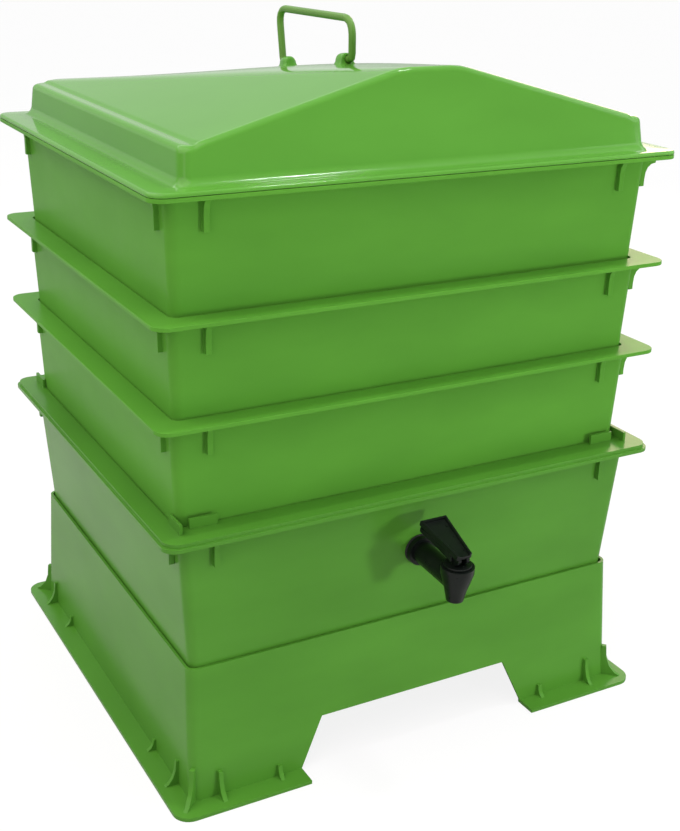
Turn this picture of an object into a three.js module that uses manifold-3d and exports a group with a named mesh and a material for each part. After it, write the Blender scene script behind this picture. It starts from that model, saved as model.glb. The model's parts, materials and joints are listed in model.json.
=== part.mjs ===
// Stacking wormery: a floor stand, a sump tray with a lever tap, three perforated
// working trays that nest in each other, and a gabled lid with a swinging handle.
// Millimetres, +Z up, the front with the tap faces -Y. The origin is on the floor,
// in the middle of the whole footprint, tap included.

import * as THREE from 'three';
import { mergeVertices } from 'three/addons/utils/BufferGeometryUtils.js';
import Module from 'manifold-3d';

const wasm = await Module();
wasm.setup();

// General fits
const seatGap = 0.3;            // between faces that rest on each other
const overrun = 2;              // how far a cutting shape passes its target
const weld = 0.0001;            // corners closer than this are one corner
const cornerSteps = 4;          // facets on each rounded corner
const roundSteps = 24;          // facets on round parts

// Working trays
const flangeWidth = 500;        // over every flange, left to right: trays, rim, lid and foot
const trayDepth = 425;          // over the tray and lid flanges, front to back
const flangeReachX = 19;        // flange beyond the walls just under it
const flangeReachY = 20.5;
const trayHeight = 125;         // flange top to floor underside
const bodyDraft = 4.5;          // how much each wall leans in on its way down
const flangeThickness = 3.5;
const flangeCorner = 13;
const bodyCorner = 9;
const wall = 2.2;
const floorThickness = 2.5;
const topNest = 27.7;           // how deep each tray sits in the one below
const middleNest = 39.9;
const bottomNest = 30.6;

// Stacking ribs inside the trays, which carry the tray above
const seatRibWidth = 5;
const seatRibReach = 8;
const seatRibPlaceShare = 0.78; // of the half width or half depth

// Floor slots
const slotLength = 40;
const slotWidth = 5;
const slotColumns = 7;
const slotRows = 7;
const slotFieldShare = 0.84;    // of the floor, covered by the slot pattern

// Outer ribs under the flanges
const ribThickness = 5;
const ribHeight = 30;
const ribReach = 15;
const ribFoot = 3.5;            // what is left of the rib below its curve
const ribEdge = 2.5;            // straight outer edge under the flange, before the curve
const ribCurveDrop = 15;        // foot of the curve
const ribRoot = 1.6;            // how far a rib is sunk into its wall
const frontRibInset = 31;       // rib to the corner of the body
const sideRibInset = 20;
const rightRibInset = 8;        // the working trays' right-hand ribs stand at the corners
const rightRibEdge = 9.5;       // and reach further down
const rightRibCurveDrop = 24;

// Sump tray
const sumpRimExtra = 7.5;       // the rim passes the tray flanges by this at front and back
const sumpRimStep = 2;          // the upper half of the rim is this much smaller
const sumpRimThickness = 7;
const sumpHeight = 148.2;       // rim top to floor underside
const sumpExtraX = 0.5;         // sump walls beyond the tray walls, on each side
const sumpExtraY = 12;
const sumpDraftX = 10;
const sumpDraftY = 7;
const nestClearance = 0.9;      // around a body that passes through an opening
const tabLength = 25;           // upright tabs that locate the bottom tray
const tabHeight = 9;
const tabThickness = 2.6;
const tabSetback = 3.5;         // front and back tabs stand this far from the opening
const tabInset = 8;             // front and back tabs end this far inside the tray's corner
const sideTabPast = 14;         // side tabs run past the corner by this much

// Stand
const standHeight = 130;
const standSeatDrop = 18;       // rim top down to the seat ledge
const standLedgeThickness = 3;
const standLedgeReach = 8;      // how far the ledge carries the sump tray
const standWall = 2.6;
const standClearance = 1;
const standFlareX = 4.5;
const standFlareY = 11;
const footExtra = 20;           // the foot passes the tray flanges by this at front and back
const footThickness = 3.5;
const footCorner = 16;
const archHeight = 51;
const archTopHalf = 100;
const archFootHalf = 122;
const tallRibHeight = 26;
const tallRibReach = 15;
const smallRibHeight = 13;
const smallRibReach = 13;
const frontTallInset = 28;      // stand ribs, from the corner of the walls
const frontSmallInset = 86;
const sideTallInset = 32;
const sideSmallInset = 88;
const standRibThickness = 4;
const ribBellyShare = 0.2;      // of a stand rib's height, where its curve pulls in
const cornerWebHeight = 34;
const cornerWebReach = 21;
const cornerWebThickness = 4;

// Lid
const skirtInsetX = 9.5;        // skirt to the tray walls under it
const skirtInsetY = 1.5;
const skirtLeanShare = 0.06;    // how far the skirt and gable lean in, for their height
const skirtFillet = 5;          // at the foot of the skirt
const ledgeHeight = 29.5;
const ledgeWidth = 14;
const panelStep = 1.6;          // roof panels stand this much above the ledges
const gableHeight = 79;
const gableFlat = 50;           // level top of the front gable
const roofCrown = 4.5;          // the back panel swells by this much
const lidWall = 2.6;
const skirtCorner = 8;
const lipHeight = 8;
const lipClearance = 1.2;

// Handle and its lugs
const handleRod = 6.8;
const handleSpread = 145;       // between the leg centres at the bar
const handleFootSpread = 138;   // between the leg centres at the hinge
const handleRearLeg = 51;
const handleFrontLeg = 34;
const handleBend = 16;
const handlePinBend = 4;
const handleBack = 13.5;        // the handle sits behind the lid's middle
const hingeRise = 4.2;          // hinge line above the roof panel
const lugThickness = 11;
const lugSpacing = 114;
const lugWidth = 26;
const lugDome = 5.9;
const lugRoot = 12;
const pinPlay = 0.5;            // between the handle's pins and the lug bores

// Tap
const tapHeight = 196;          // barrel centre above the floor
const stubRadius = 9.6;
const stubPlay = 0.5;
const stubLength = 20;          // inside the sump tray
const washerRadius = 14.6;
const washerThickness = 2;
const shoulderRadius = 14;
const shoulderLength = 5;
const barrelRadius = 10.5;
const barrelBore = 6.5;
const valveReach = 63;          // wall to the valve's centre line
const valveRadius = 15;
const valveTop = 15.5;          // above the barrel centre
const valveWaist = 9;           // where the housing starts to taper
const nozzleRadius = 7.8;
const nozzleDrop = 18.5;
const nozzleBore = 5.6;
const chamberRadius = 8.2;
const chamberFloor = 6.5;       // valve seat, below the barrel centre
const bonnetRadius = 12.4;
const bonnetThickness = 2;
const bonnetPlug = 5;
const fitPlay = 0.35;
const nutRadius = 17;
const nutThickness = 7;
const nutSides = 6;
const rodRadius = 2.4;
const rodFoot = 6;
const rodFootThickness = 1.8;
const rodNeck = 1.7;
const rodHead = 3.2;
const rodHeadThickness = 1.5;
const sealRadius = 7.5;
const sealThickness = 3;
const sealPlay = 0.25;
const leverPin = 1.4;
const leverPinPlay = 0.25;
const eyeRadius = 3.1;
const eyeWidth = 4.4;
const cheekGap = 0.5;
const cheekThickness = 3.2;
const camHeel = 5;              // cheek below the pin with the tap shut
const camToe = 8.8;             // cheek in front of the pin, below it when open
const camGap = 0.8;             // between the cheeks and the bonnet
const paddleLength = 53;
const paddleWidth = 27;
const paddleRootWidth = 15;
const paddleThickness = 3;
const paddleRim = 2.4;
const paddleRimHeight = 2;
const paddleRise = 10;          // free end above the pin end
const paddleLift = 3.7;         // paddle above the pin
const paddleNose = 8;           // paddle in front of the pin

// Colours
const leafGreen = new THREE.Color(0.11, 0.34, 0.04);
const brightGreen = new THREE.Color(0.12, 0.39, 0.045);
const handleGreen = new THREE.Color(0.11, 0.29, 0.04);
const tapBlack = new THREE.Color(0.02, 0.023, 0.023);
const rubberBlack = new THREE.Color(0.03, 0.03, 0.03);

// Sizes and places worked out from those above
const half = 0.5;
const bodyWidth = flangeWidth - 2 * flangeReachX;
const bodyDepth = trayDepth - 2 * flangeReachY;
const sumpRimDepth = trayDepth + 2 * sumpRimExtra;
const sumpBodyWidth = bodyWidth + 2 * sumpExtraX;
const sumpBodyDepth = bodyDepth + 2 * sumpExtraY;
const footDepth = trayDepth + 2 * footExtra;
const skirtWidth = bodyWidth - 2 * skirtInsetX;
const skirtDepth = bodyDepth - 2 * skirtInsetY;
const sumpFloorZ = standHeight - standSeatDrop + seatGap;
const sumpTopZ = sumpFloorZ + sumpHeight;
const bottomTopZ = sumpTopZ + trayHeight - bottomNest;
const middleTopZ = bottomTopZ + trayHeight - middleNest;
const upperTopZ = middleTopZ + trayHeight - topNest;
const lidZ = upperTopZ + seatGap;

// A closed mesh made into a solid that can be joined and cut
function solid(geometry) {
  const bare = geometry.index ? geometry.toNonIndexed() : geometry.clone();
  bare.deleteAttribute('normal');
  bare.deleteAttribute('uv');
  const merged = mergeVertices(bare, weld);
  const places = merged.attributes.position.array;
  const index = [];
  let volume = 0;
  const a = new THREE.Vector3();
  const b = new THREE.Vector3();
  const c = new THREE.Vector3();
  for (let i = 0; i < merged.index.count; i += 3) {
    const [p, q, r] = [0, 1, 2].map((k) => merged.index.getX(i + k));
    if (p === q || q === r || r === p) continue;
    index.push(p, q, r);
    a.fromArray(places, p * 3);
    b.fromArray(places, q * 3);
    c.fromArray(places, r * 3);
    volume += a.dot(b.cross(c));
  }
  if (volume < 0) {
    for (let i = 0; i < index.length; i += 3) {
      const first = index[i];
      index[i] = index[i + 1];
      index[i + 1] = first;
    }
  }
  const mesh = new wasm.Mesh({
    numProp: 3,
    vertProperties: new Float32Array(places),
    triVerts: new Uint32Array(index),
  });
  return new wasm.Manifold(mesh);
}

function join(...pieces) {
  return pieces.reduce((whole, piece) => whole.add(piece));
}

function mesh(name, shape, material) {
  const data = shape.getMesh();
  const geometry = new THREE.BufferGeometry();
  const places = new THREE.BufferAttribute(new Float32Array(data.vertProperties), 3);
  geometry.setAttribute('position', places);
  geometry.setIndex(new THREE.BufferAttribute(new Uint32Array(data.triVerts), 1));
  geometry.computeVertexNormals();
  const result = new THREE.Mesh(geometry, material);
  result.name = name;
  return result;
}

// Outline of a rectangle with round corners
function roundedRectangle(halfX, halfY, radius) {
  const outline = new THREE.Shape();
  const x = halfX - radius;
  const y = halfY - radius;
  outline.absarc(x, y, radius, 0, Math.PI / 2);
  outline.absarc(-x, y, radius, Math.PI / 2, Math.PI);
  outline.absarc(-x, -y, radius, Math.PI, 1.5 * Math.PI);
  outline.absarc(x, -y, radius, 1.5 * Math.PI, 2 * Math.PI);
  return outline;
}

// Upright block from z = low to z = high, its walls leaning out by leanX and leanY at the top
function leaningBlock(halfX, halfY, radius, low, high, leanX = 0, leanY = 0) {
  const outline = roundedRectangle(halfX, halfY, radius);
  const depth = high - low;
  const geometry = new THREE.ExtrudeGeometry(outline, {
    depth, bevelEnabled: false, curveSegments: cornerSteps,
  });
  const place = geometry.attributes.position;
  for (let i = 0; i < place.count; i += 1) {
    const share = place.getZ(i) / depth;
    const x = place.getX(i);
    const y = place.getY(i);
    place.setXYZ(i, x + Math.sign(x) * leanX * share, y + Math.sign(y) * leanY * share,
      place.getZ(i) + low);
  }
  return solid(geometry);
}

// Extruded outline standing in the plane of its wall: its x runs away from the wall, its y up
function webAt(outline, thickness, x, y, z, turn) {
  const geometry = new THREE.ExtrudeGeometry(outline, {
    depth: thickness, bevelEnabled: false, curveSegments: cornerSteps,
  });
  geometry.translate(0, 0, -thickness * half);
  geometry.rotateX(Math.PI / 2);
  geometry.rotateZ(turn);
  geometry.translate(x, y, z);
  return solid(geometry);
}

function box(sizeX, sizeY, sizeZ, x, y, z) {
  const geometry = new THREE.BoxGeometry(sizeX, sizeY, sizeZ);
  geometry.translate(x, y, z);
  return solid(geometry);
}

// Rod along an axis: the start and the direction are given, y is the default axis of a cylinder
function cylinder(radius, length, steps = roundSteps) {
  return new THREE.CylinderGeometry(radius, radius, length, steps);
}

function rodAlongX(radius, fromX, toX, y, z, steps = roundSteps) {
  const geometry = cylinder(radius, toX - fromX, steps);
  geometry.rotateZ(Math.PI / 2);
  geometry.translate((fromX + toX) * half, y, z);
  return solid(geometry);
}

function rodAlongY(radius, fromY, toY, x, z, steps = roundSteps) {
  const geometry = cylinder(radius, toY - fromY, steps);
  geometry.translate(x, (fromY + toY) * half, z);
  return solid(geometry);
}

// Turned part on the vertical axis: the profile is a list of radius and height pairs
function turned(profile, y) {
  const points = profile.map(([radius, height]) => new THREE.Vector2(radius, height));
  const geometry = new THREE.LatheGeometry(points, roundSteps);
  geometry.rotateX(Math.PI / 2);
  geometry.translate(0, y, 0);
  return solid(geometry);
}

// The four corner places of something that stands at +-x and +-y
function corners(x, y) {
  return [[-x, -y], [x, -y], [x, y], [-x, y]];
}

// Outer rib: it springs from the flange in a curve and runs down the wall as a low strip
function flangeRibOutline(edge, curveDrop) {
  const outline = new THREE.Shape();
  outline.moveTo(ribReach, 0);
  outline.lineTo(-ribRoot, 0);
  outline.lineTo(-ribRoot, -ribHeight);
  outline.lineTo(ribFoot, -ribHeight);
  outline.lineTo(ribFoot, -curveDrop);
  outline.quadraticCurveTo(ribFoot, -edge, ribReach, -edge);
  return outline;
}

const plainRib = { outline: flangeRibOutline(ribEdge, ribCurveDrop), inset: sideRibInset };
const cornerRib = {
  outline: flangeRibOutline(rightRibEdge, rightRibCurveDrop), inset: rightRibInset,
};

// Two outer ribs at each corner of a body, one on each of its faces
function flangeRibs(halfX, halfY, z, rightRib) {
  const ribs = [];
  for (const [x, y] of corners(halfX - frontRibInset, halfY)) {
    const turn = Math.sign(y) * Math.PI / 2;
    ribs.push(webAt(plainRib.outline, ribThickness, x, y, z, turn));
  }
  for (const [x, y] of corners(halfX, halfY)) {
    const { outline, inset } = x < 0 ? plainRib : rightRib;
    const turn = x < 0 ? Math.PI : 0;
    ribs.push(webAt(outline, ribThickness, x, y - Math.sign(y) * inset, z, turn));
  }
  return ribs;
}

// Stacking ribs on the inside of the walls, up to the seat of the tray above
function seatRibs(halfX, halfY, low, seat) {
  const ribs = [];
  const height = seat - low;
  const middle = (seat + low) * half;
  const across = seatRibReach;
  for (const [x, y] of corners(halfX * seatRibPlaceShare, halfY - seatRibReach * half)) {
    ribs.push(box(seatRibWidth, across, height, x, y, middle));
  }
  for (const [x, y] of corners(halfX - seatRibReach * half, halfY * seatRibPlaceShare)) {
    ribs.push(box(across, seatRibWidth, height, x, y, middle));
  }
  return ribs;
}

// Half sizes of the tray body at a height below its flange top
function trayHalfAt(drop) {
  const lean = bodyDraft * drop / trayHeight;
  return { x: bodyWidth * half - lean, y: bodyDepth * half - lean };
}

// The slots of the floor, as one cutting shape for each row
function floorSlots(halfX, halfY, floorLow) {
  const cuts = [];
  const stepX = 2 * halfX * slotFieldShare / slotColumns;
  const stepY = 2 * halfY * slotFieldShare / slotRows;
  const cutHeight = floorThickness + 2 * overrun;
  for (let row = 0; row < slotRows; row += 1) {
    const y = (row - (slotRows - 1) * half) * stepY;
    for (let column = 0; column < slotColumns; column += 1) {
      const x = (column - (slotColumns - 1) * half) * stepX;
      cuts.push(box(slotLength, slotWidth, cutHeight, x, y, floorLow + floorThickness * half));
    }
  }
  return join(...cuts);
}

// A working tray, drawn with its flange top at z = 0
function workingTray(name, topZ, nestAbove, material) {
  const top = trayHalfAt(0);
  const bottom = trayHalfAt(trayHeight);
  const floorTop = -trayHeight + floorThickness;
  const seat = -nestAbove - seatGap;
  const outer = leaningBlock(bottom.x, bottom.y, bodyCorner, -trayHeight,
    -flangeThickness * half, bodyDraft, bodyDraft);
  const plate = leaningBlock(flangeWidth * half, trayDepth * half, flangeCorner,
    -flangeThickness, 0);
  const cavity = leaningBlock(bottom.x - wall, bottom.y - wall, bodyCorner - wall, floorTop,
    overrun, bodyDraft, bodyDraft);
  const ribs = flangeRibs(top.x, top.y, -flangeThickness * half, cornerRib);
  const seatHalf = trayHalfAt(trayHeight * half);
  const seats = seatRibs(seatHalf.x - wall * half, seatHalf.y - wall * half,
    floorTop - floorThickness * half, seat);
  const shell = join(outer, plate, ...ribs).subtract(cavity);
  const inside = join(...seats).intersect(leaningBlock(bottom.x - wall * half,
    bottom.y - wall * half, bodyCorner, -trayHeight, 0, bodyDraft, bodyDraft));
  const slots = floorSlots(bottom.x, bottom.y, -trayHeight);
  const tray = mesh(name, shell.add(inside).subtract(slots), material);
  tray.position.z = topZ;
  return tray;
}

// The sump tray, drawn with its rim top at z = 0
function sumpHalfAt(drop) {
  return {
    x: sumpBodyWidth * half - sumpDraftX * drop / sumpHeight,
    y: sumpBodyDepth * half - sumpDraftY * drop / sumpHeight,
  };
}

const sumpWallLean = Math.atan(sumpDraftY / sumpHeight);
const tapDrop = sumpTopZ - tapHeight;
const tapWallY = -sumpHalfAt(tapDrop).y;

function sumpTray(material) {
  const bottom = sumpHalfAt(sumpHeight);
  const top = sumpHalfAt(0);
  const nested = trayHalfAt(trayHeight - bottomNest);
  const floorTop = -sumpHeight + floorThickness;
  const rimMiddle = -sumpRimThickness * half;
  const outer = leaningBlock(bottom.x, bottom.y, bodyCorner, -sumpHeight, rimMiddle,
    sumpDraftX, sumpDraftY);
  const lowerRim = leaningBlock(flangeWidth * half, sumpRimDepth * half, flangeCorner,
    -sumpRimThickness, rimMiddle);
  const upperRim = leaningBlock(flangeWidth * half - sumpRimStep,
    sumpRimDepth * half - sumpRimStep, flangeCorner, rimMiddle, 0);
  const ribs = flangeRibs(top.x, top.y, -sumpRimThickness * half, plainRib);
  const cavity = leaningBlock(bottom.x - wall, bottom.y - wall, bodyCorner - wall, floorTop,
    -sumpRimThickness, sumpDraftX, sumpDraftY);
  const mouth = leaningBlock(nested.x + nestClearance, nested.y + nestClearance, bodyCorner,
    -sumpRimThickness - overrun, overrun, 0, 0);
  const seatHalf = sumpHalfAt(sumpHeight * half);
  const seats = seatRibs(seatHalf.x - wall * half, seatHalf.y - wall * half,
    floorTop - floorThickness * half, -bottomNest - seatGap);
  const inside = join(...seats).intersect(leaningBlock(bottom.x - wall * half,
    bottom.y - wall * half, bodyCorner, -sumpHeight, 0, sumpDraftX, sumpDraftY));
  const tabs = [];
  const tabX = nested.x - tabInset - tabLength * half;
  const tabY = nested.y + sideTabPast - tabLength * half;
  const offX = nested.x + nestClearance + tabThickness * half;
  const offY = nested.y + nestClearance + tabSetback + tabThickness * half;
  const tabTall = tabHeight + sumpRimThickness;
  const tabZ = (tabHeight - sumpRimThickness) * half;
  for (const [x, y] of corners(tabX, offY)) {
    tabs.push(box(tabLength, tabThickness, tabTall, x, y, tabZ));
  }
  for (const [x, y] of corners(offX, tabY)) {
    tabs.push(box(tabThickness, tabLength, tabTall, x, y, tabZ));
  }
  const hole = rodAlongY(stubRadius + stubPlay, -wall * half - stubLength,
    wall + stubLength, 0, 0);
  const lean = THREE.MathUtils.radToDeg(sumpWallLean);
  const tapHole = hole.rotate([lean, 0, 0]).translate([0, tapWallY, -tapDrop]);
  const shell = join(outer, lowerRim, upperRim, ...ribs).subtract(cavity).subtract(mouth);
  const tray = mesh('sump_tray', shell.add(inside).add(join(...tabs)).subtract(tapHole), material);
  tray.position.z = sumpTopZ;
  return tray;
}

// The stand: flared walls, a seat ledge inside the rim, a foot flange, and arches front and back
function standRibOutline(height, reach) {
  const outline = new THREE.Shape();
  outline.moveTo(-ribRoot - standWall * half, 0);
  outline.lineTo(reach, 0);
  outline.quadraticCurveTo(ribRoot, height * ribBellyShare, ribRoot, height);
  outline.lineTo(-ribRoot - standWall * half, height);
  return outline;
}

function stand(material) {
  const held = sumpHalfAt(sumpHeight - standSeatDrop);
  const seated = sumpHalfAt(sumpHeight);
  const rimX = held.x + standClearance + standWall;
  const rimY = held.y + standClearance + standWall;
  const footX = rimX + standFlareX;
  const footY = rimY + standFlareY;
  const outer = leaningBlock(footX, footY, bodyCorner, 0, standHeight, -standFlareX,
    -standFlareY);
  const inner = leaningBlock(footX - standWall, footY - standWall, bodyCorner - standWall, 0,
    standHeight, -standFlareX, -standFlareY);
  const opening = leaningBlock(rimX - standWall, rimY - standWall, bodyCorner - standWall,
    standHeight - overrun, standHeight + overrun);
  const ledgeTop = standHeight - standSeatDrop;
  const ledge = leaningBlock(footX, footY, bodyCorner, ledgeTop - standLedgeThickness, ledgeTop)
    .subtract(leaningBlock(seated.x - standLedgeReach, seated.y - standLedgeReach, bodyCorner,
      ledgeTop - standLedgeThickness - overrun, ledgeTop + overrun));
  const foot = leaningBlock(flangeWidth * half, footDepth * half, footCorner, 0, footThickness);
  const clearance = leaningBlock(footX - standWall, footY - standWall, bodyCorner - standWall,
    -overrun, overrun);
  const tall = standRibOutline(tallRibHeight, tallRibReach);
  const small = standRibOutline(smallRibHeight, smallRibReach);
  const web = standRibOutline(cornerWebHeight, cornerWebReach);
  const base = footThickness * half;
  const ribs = [];
  for (const [outline, frontInset, sideInset] of [[tall, frontTallInset, sideTallInset],
    [small, frontSmallInset, sideSmallInset]]) {
    for (const [x, y] of corners(footX - frontInset, footY)) {
      ribs.push(webAt(outline, standRibThickness, x, y, base, Math.sign(y) * Math.PI / 2));
    }
    for (const [x, y] of corners(footX, footY - sideInset)) {
      ribs.push(webAt(outline, standRibThickness, x, y, base, x < 0 ? Math.PI : 0));
    }
  }
  const cornerStart = bodyCorner * (1 - Math.SQRT1_2);
  for (const [x, y] of corners(footX - cornerStart, footY - cornerStart)) {
    ribs.push(webAt(web, cornerWebThickness, x, y, base, Math.atan2(Math.sign(y), Math.sign(x))));
  }
  const arch = new THREE.Shape();
  arch.moveTo(-archFootHalf, -overrun);
  arch.lineTo(archFootHalf, -overrun);
  arch.lineTo(archFootHalf, footThickness);
  arch.lineTo(archTopHalf, archHeight);
  arch.lineTo(-archTopHalf, archHeight);
  arch.lineTo(-archFootHalf, footThickness);
  const reach = footDepth + 2 * overrun;
  const archGeometry = new THREE.ExtrudeGeometry(arch, { depth: reach, bevelEnabled: false });
  archGeometry.rotateX(Math.PI / 2);
  archGeometry.translate(0, reach * half, 0);
  const shell = outer.add(foot).add(join(...ribs)).subtract(inner).subtract(opening);
  const kept = shell.subtract(clearance).add(ledge.intersect(outer));
  return mesh('stand', kept.subtract(solid(archGeometry)), material);
}

// Height of the roof above the lid flange. Side panels rise to the gable's level top,
// and the back panel falls from there to the back edge with a slight swelling.
const panelHeight = ledgeHeight + panelStep;
const panelHalf = skirtWidth * half - skirtLeanShare * ledgeHeight - ledgeWidth;
const hipEndShare = 0.985;      // of the panel's half width, where the hips meet the back edge
const panelColumns = 3;
const backColumns = 8;
const roofRows = 12;

// The roof across the lid, at a share of the way to the back: x and height pairs, left to right
function roofColumns(share, inset) {
  const edge = skirtWidth * half + overrun;
  const panel = panelHalf - inset;
  const start = panel - panelStep * half;
  const flat = gableFlat * half;
  const hip = flat + (panel * hipEndShare - flat) * share;
  const rise = (x) => panelHeight + (gableHeight - panelHeight) * (start - x) / (start - flat);
  const side = [[edge, ledgeHeight], [panel, ledgeHeight]];
  for (let i = 0; i <= panelColumns; i += 1) {
    const x = start + (hip - start) * i / panelColumns;
    side.push([x, rise(x)]);
  }
  const swell = roofCrown * Math.sin(Math.PI * share) ** 2;
  const back = [];
  for (let i = 1; i < backColumns; i += 1) {
    const across = 2 * i / backColumns - 1;
    back.push([across * hip, rise(hip) + swell * (1 - across * across)]);
  }
  const left = side.map(([x, z]) => [-x, z]);
  return [...left, ...back, ...side.reverse()];
}

// Half depth of the roof, from the lid's middle to the gable and to the back edge
const roofHalf = skirtDepth * half - skirtLeanShare * panelHeight;

// Walls of the skirt and gable, higher than the roof; inset gives those of the hollow
function lidWalls(inset, low) {
  const high = gableHeight + roofCrown;
  const lean = -skirtLeanShare * (high - low);
  const out = -skirtLeanShare * low - inset;
  return leaningBlock(skirtWidth * half + out, skirtDepth * half + out, skirtCorner,
    low, high, lean, lean);
}

// The dome of the lid: a block under the roof, cut to the walls
function dome(inset, low) {
  const columns = roofColumns(0, inset).length - 1;
  const rows = roofRows + 2;
  const geometry = new THREE.BoxGeometry(1, 1, 1, columns, rows, 1);
  const place = geometry.attributes.position;
  for (let i = 0; i < place.count; i += 1) {
    const column = Math.round((place.getX(i) + half) * columns);
    const row = Math.round((place.getY(i) + half) * rows);
    const share = THREE.MathUtils.clamp((row - 1) / roofRows, 0, 1);
    const [x, top] = roofColumns(share, inset)[column];
    const past = row === 0 || row === rows ? Math.sign(place.getY(i)) * (skirtFillet + inset) : 0;
    const y = (2 * share - 1) * (roofHalf - inset) + past;
    place.setXYZ(i, x, y, place.getZ(i) > 0 ? top - inset : low);
  }
  return solid(geometry).intersect(lidWalls(inset, low));
}

// Slope of the back panel and the hinge line of the handle on it
const roofSlope = Math.atan((gableHeight - panelHeight) / (2 * roofHalf));
const hingeShare = half + handleBack / (2 * roofHalf);
const hingeZ = gableHeight - (gableHeight - panelHeight) * hingeShare
  + roofCrown * Math.sin(Math.PI * hingeShare) ** 2 + hingeRise;

function lugOutline() {
  const outline = new THREE.Shape();
  outline.moveTo(-lugWidth * half, -lugRoot);
  outline.lineTo(lugWidth * half, -lugRoot);
  outline.lineTo(lugDome, 0);
  outline.absarc(0, 0, lugDome, 0, Math.PI);
  return outline;
}

// Turn and move a solid from the hinge's own frame to the lid's
function onHinge(shape) {
  const tilt = THREE.MathUtils.radToDeg(-roofSlope);
  return shape.rotate([tilt, 0, 0]).translate([0, handleBack, hingeZ]);
}

function lid(material) {
  const plate = leaningBlock(flangeWidth * half, trayDepth * half, flangeCorner, 0,
    flangeThickness);
  const opening = trayHalfAt(0);
  const lipX = opening.x - wall - lipClearance;
  const lipY = opening.y - wall - lipClearance;
  const lip = leaningBlock(lipX, lipY, bodyCorner - wall, -lipHeight, flangeThickness * half)
    .subtract(leaningBlock(lipX - lidWall, lipY - lidWall, bodyCorner - wall,
      -lipHeight - overrun, overrun + flangeThickness));
  const raise = [0, 0, flangeThickness];
  const skirt = dome(0, -flangeThickness * half).translate(raise);
  const sunk = flangeThickness * half;
  const out = skirtFillet + sunk;
  const across = skirtFillet + 2 * sunk;
  const fillet = leaningBlock(skirtWidth * half + out, skirtDepth * half + out,
    skirtCorner + skirtFillet, -sunk, skirtFillet + sunk, -across, -across).translate(raise);
  const hollow = dome(lidWall, -flangeThickness - overrun).translate(raise);
  const lugs = [];
  const bores = [];
  for (const side of [-1, 1]) {
    const lug = webAt(lugOutline(), lugThickness, 0, side * lugSpacing * half, 0, 0);
    lugs.push(onHinge(lug).translate(raise));
    const middle = side * lugSpacing * half;
    const bore = rodAlongY(handleRod * half + pinPlay, middle - lugThickness,
      middle + lugThickness, 0, 0, roundSteps * half);
    bores.push(onHinge(bore).translate(raise));
  }
  const shell = join(plate, skirt, fillet, ...lugs).subtract(hollow);
  const piece = mesh('lid', shell.add(lip).subtract(join(...bores)), material);
  piece.position.z = lidZ;
  return piece;
}

// The handle: one bent rod whose turned-in ends are its pins
function lidHandle(material) {
  const foot = handleFootSpread * half;
  const top = handleSpread * half;
  const pinEnd = lugSpacing * half - lugThickness * half;
  const corner = [
    new THREE.Vector3(0, -pinEnd, 0),
    new THREE.Vector3(0, -foot, 0),
    new THREE.Vector3(0, -top, handleFrontLeg),
    new THREE.Vector3(0, top, handleRearLeg),
    new THREE.Vector3(0, foot, 0),
    new THREE.Vector3(0, pinEnd, 0),
  ];
  const bends = [0, handlePinBend, handleBend, handleBend, handlePinBend, 0];
  const path = new THREE.CurvePath();
  let start = corner[0];
  for (let i = 1; i < corner.length - 1; i += 1) {
    const before = corner[i].clone().sub(corner[i - 1]).normalize().multiplyScalar(bends[i]);
    const after = corner[i + 1].clone().sub(corner[i]).normalize().multiplyScalar(bends[i]);
    const enter = corner[i].clone().sub(before);
    const leave = corner[i].clone().add(after);
    path.add(new THREE.LineCurve3(start, enter));
    path.add(new THREE.QuadraticBezierCurve3(enter, corner[i], leave));
    start = leave;
  }
  path.add(new THREE.LineCurve3(start, corner[corner.length - 1]));
  const section = new THREE.Shape();
  section.absarc(0, 0, handleRod * half, 0, 2 * Math.PI);
  const geometry = new THREE.ExtrudeGeometry(section, {
    steps: 60, bevelEnabled: false, curveSegments: 5, extrudePath: path,
  });
  const piece = mesh('lid_handle', onHinge(solid(geometry)), material);
  piece.position.z = lidZ + flangeThickness;
  return piece;
}

// Tap pieces, drawn with the barrel's centre on the wall at the origin and the nozzle towards -Y
const bonnetZ = valveTop + seatGap;
const bonnetTop = bonnetZ + bonnetThickness;
const leverPinZ = bonnetTop + camHeel + camGap;
const sealZ = -chamberFloor + seatGap;
const rodFootZ = sealZ + sealThickness + seatGap;

function tapBody(material) {
  const shoulderFrom = -washerThickness - 2 * seatGap;
  const stub = rodAlongY(stubRadius, shoulderFrom - shoulderLength * half, wall + stubLength, 0, 0);
  const shoulder = rodAlongY(shoulderRadius, shoulderFrom - shoulderLength, shoulderFrom, 0, 0);
  const barrel = rodAlongY(barrelRadius, -valveReach, shoulderFrom - shoulderLength * half, 0, 0);
  const valve = turned([
    [0, -nozzleDrop], [nozzleRadius, -nozzleDrop], [barrelRadius, -chamberFloor],
    [valveRadius, valveWaist], [valveRadius, valveTop], [0, valveTop],
  ], -valveReach);
  const chamber = turned([
    [0, -chamberFloor], [chamberRadius, -chamberFloor], [chamberRadius, valveTop + overrun],
    [0, valveTop + overrun],
  ], -valveReach);
  const outlet = turned([
    [0, -nozzleDrop - overrun], [nozzleBore, -nozzleDrop - overrun],
    [nozzleBore, -chamberFloor + overrun], [0, -chamberFloor + overrun],
  ], -valveReach);
  const bore = rodAlongY(barrelBore, -valveReach, wall + stubLength + overrun, 0, 0);
  const whole = join(stub, shoulder, barrel, valve);
  return mesh('tap_body', whole.subtract(chamber).subtract(outlet).subtract(bore), material);
}

function ring(name, outer, inner, from, to, sides, material) {
  const disc = rodAlongY(outer, from, to, 0, 0, sides);
  const hole = rodAlongY(inner, from - overrun, to + overrun, 0, 0);
  return mesh(name, disc.subtract(hole), material);
}

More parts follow.
